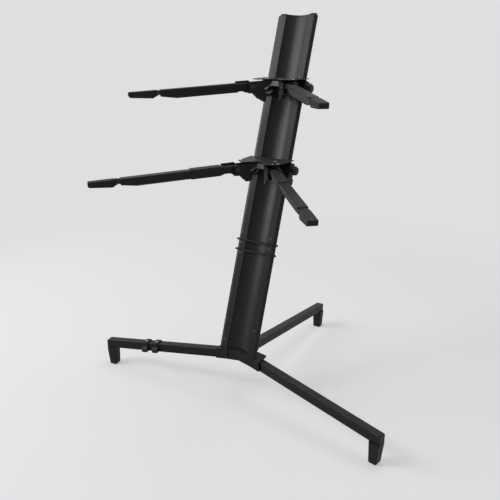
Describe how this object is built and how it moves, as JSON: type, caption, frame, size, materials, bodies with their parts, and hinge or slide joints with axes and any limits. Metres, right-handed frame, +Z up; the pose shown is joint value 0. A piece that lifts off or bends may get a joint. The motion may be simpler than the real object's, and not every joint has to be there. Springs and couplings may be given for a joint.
{
  "type": "keyboard stand",
  "caption": "Leaning column stand on three sloping legs, with height-adjustable tiers of folding, telescoping arms that carry keyboards.",
  "frame": {"origin": "centre of the bounding box in plan, at floor level", "axes": "+Z up, -Y the front where the arms point, +X the side of the clamp knobs"},
  "size_m": [0.9626, 0.7988, 1.1054],
  "materials": {
    "bar_black": "black anodised",
    "black_bolt": "black oxide",
    "bracket_black": "black powder coat",
    "bright_steel": "zinc plated",
    "cast_black": "cast, black powder coat",
    "clip_plastic": "moulded",
    "column_anodised": "black anodised",
    "face_black": "black powder coat",
    "foot_plastic": "moulded",
    "knob_plastic": "moulded",
    "plastic_black": "moulded",
    "plate_black": "black powder coat",
    "sleeve_black": "moulded",
    "strap_rubber": "matt",
    "tip_rubber": "matt",
    "tube_black": "black anodised"
  },
  "bodies": {
    "base": {"hub": "cast_black", "column": "column_anodised", "column_cap": "plastic_black", "strap_band_low": "strap_rubber", "strap_band_high": "strap_rubber", "strap_clip": "strap_rubber", "rear_leg": "tube_black", "rear_leg_bolt": "bright_steel", "rear_leg_cap": "plastic_black", "rear_leg_foot": "foot_plastic", "left_leg_bolt": "bright_steel", "right_leg_bolt": "bright_steel"},
    "left_leg_body": {"left_leg": "tube_black", "left_leg_cap": "plastic_black", "left_leg_foot": "foot_plastic", "cable_clip_inner": "clip_plastic", "cable_clip_outer": "clip_plastic"},
    "right_leg_body": {"right_leg": "tube_black", "right_leg_cap": "plastic_black", "right_leg_foot": "foot_plastic"},
    "upper_tier": {"upper_collar": "cast_black", "upper_face": "face_black", "upper_top_plate": "plate_black", "upper_left_bracket": "bracket_black", "upper_right_bracket": "bracket_black", "upper_left_fold_bolt": "black_bolt", "upper_right_fold_bolt": "black_bolt"},
    "upper_knob_body": {"upper_knob": "knob_plastic"},
    "upper_left_bar_body": {"upper_left_inner_bar": "bar_black"},
    "upper_left_tube_body": {"upper_left_tube": "tube_black", "upper_left_tip_fork": "plastic_black", "upper_left_tip_pin": "bright_steel"},
    "upper_left_tip_body": {"upper_left_tip": "tip_rubber"},
    "upper_right_bar_body": {"upper_right_inner_bar": "bar_black"},
    "upper_right_tube_body": {"upper_right_tube": "tube_black", "upper_right_tip_fork": "plastic_black", "upper_right_tip_pin": "bright_steel"},
    "upper_right_tip_body": {"upper_right_tip": "tip_rubber"},
    "lower_tier": {"lower_collar": "cast_black", "lower_face": "face_black", "lower_top_plate": "plate_black", "lower_left_bracket": "bracket_black", "lower_right_bracket": "bracket_black", "lower_left_fold_bolt": "black_bolt", "lower_right_fold_bolt": "black_bolt"},
    "lower_knob_body": {"lower_knob": "knob_plastic"},
    "lower_left_bar_body": {"lower_left_inner_bar": "bar_black"},
    "lower_left_tube_body": {"lower_left_tube": "tube_black", "lower_left_sleeve": "sleeve_black", "lower_left_tip_fork": "plastic_black", "lower_left_tip_pin": "bright_steel"},
    "lower_left_tip_body": {"lower_left_tip": "tip_rubber"},
    "lower_right_bar_body": {"lower_right_inner_bar": "bar_black"},
    "lower_right_tube_body": {"lower_right_tube": "tube_black", "lower_right_sleeve": "sleeve_black", "lower_right_tip_fork": "plastic_black", "lower_right_tip_pin": "bright_steel"},
    "lower_right_tip_body": {"lower_right_tip": "tip_rubber"}
  },
  "joints": [
    {"name": "left_leg_fold", "type": "hinge", "parent": "base", "child": "left_leg_body", "pos_m": [-0.0541, -0.15851, 0.14121], "axis": [0.1199, 0.022, -0.9925], "range_deg": [0, 75]},
    {"name": "right_leg_fold", "type": "hinge", "parent": "base", "child": "right_leg_body", "pos_m": [0.0541, -0.15851, 0.14121], "axis": [0.1199, -0.022, 0.9925], "range_deg": [0, 75]},
    {"name": "upper_tier_height", "type": "slide", "parent": "base", "child": "upper_tier", "axis": [0, 0.3289, 0.9444], "range_m": [-0.03, 0.12]},
    {"name": "upper_knob_turn", "type": "hinge", "parent": "upper_tier", "child": "upper_knob_body", "pos_m": [0.0733, 0.07533, 0.90277], "axis": [1, 0, 0], "continuous": true},
    {"name": "upper_left_arm_fold", "type": "hinge", "parent": "upper_tier", "child": "upper_left_bar_body", "pos_m": [-0.05908, -0.00447, 0.90747], "axis": [-0.7443, 0.6678, 0], "range_deg": [0, 70]},
    {"name": "upper_left_arm_reach", "type": "slide", "parent": "upper_left_bar_body", "child": "upper_left_tube_body", "axis": [-0.6664, -0.7427, -0.0654], "range_m": [-0.02, 0.06]},
    {"name": "upper_left_tip_flip", "type": "hinge", "parent": "upper_left_tube_body", "child": "upper_left_tip_body", "pos_m": [-0.23853, -0.20448, 0.89437], "axis": [-0.7443, 0.6678, 0], "range_deg": [0, 80]},
    {"name": "upper_right_arm_fold", "type": "hinge", "parent": "upper_tier", "child": "upper_right_bar_body", "pos_m": [0.05908, -0.00447, 0.90747], "axis": [-0.7443, -0.6678, 0], "range_deg": [0, 70]},
    {"name": "upper_right_arm_reach", "type": "slide", "parent": "upper_right_bar_body", "child": "upper_right_tube_body", "axis": [0.6664, -0.7427, -0.0654], "range_m": [-0.02, 0.06]},
    {"name": "upper_right_tip_flip", "type": "hinge", "parent": "upper_right_tube_body", "child": "upper_right_tip_body", "pos_m": [0.23853, -0.20448, 0.89437], "axis": [-0.7443, -0.6678, 0], "range_deg": [0, 80]},
    {"name": "lower_tier_height", "type": "slide", "parent": "base", "child": "lower_tier", "axis": [0, 0.3289, 0.9444], "range_m": [-0.12, 0.03]},
    {"name": "lower_knob_turn", "type": "hinge", "parent": "lower_tier", "child": "lower_knob_body", "pos_m": [0.0733, -0.00215, 0.68027], "axis": [1, 0, 0], "continuous": true},
    {"name": "lower_left_arm_fold", "type": "hinge", "parent": "lower_tier", "child": "lower_left_bar_body", "pos_m": [-0.05908, -0.08195, 0.68497], "axis": [-0.7443, 0.6678, 0], "range_deg": [0, 70]},
    {"name": "lower_left_arm_reach", "type": "slide", "parent": "lower_left_bar_body", "child": "lower_left_tube_body", "axis": [-0.6664, -0.7427, -0.0654], "range_m": [0, 0.08]},
    {"name": "lower_left_tip_flip", "type": "hinge", "parent": "lower_left_tube_body", "child": "lower_left_tip_body", "pos_m": [-0.28518, -0.33395, 0.66729], "axis": [-0.7443, 0.6678, 0], "range_deg": [0, 80]},
    {"name": "lower_right_arm_fold", "type": "hinge", "parent": "lower_tier", "child": "lower_right_bar_body", "pos_m": [0.05908, -0.08195, 0.68497], "axis": [-0.7443, -0.6678, 0], "range_deg": [0, 70]},
    {"name": "lower_right_arm_reach", "type": "slide", "parent": "lower_right_bar_body", "child": "lower_right_tube_body", "axis": [0.6664, -0.7427, -0.0654], "range_m": [0, 0.08]},
    {"name": "lower_right_tip_flip", "type": "hinge", "parent": "lower_right_tube_body", "child": "lower_right_tip_body", "pos_m": [0.28518, -0.33395, 0.66729], "axis": [-0.7443, -0.6678, 0], "range_deg": [0, 80]}
  ]
}
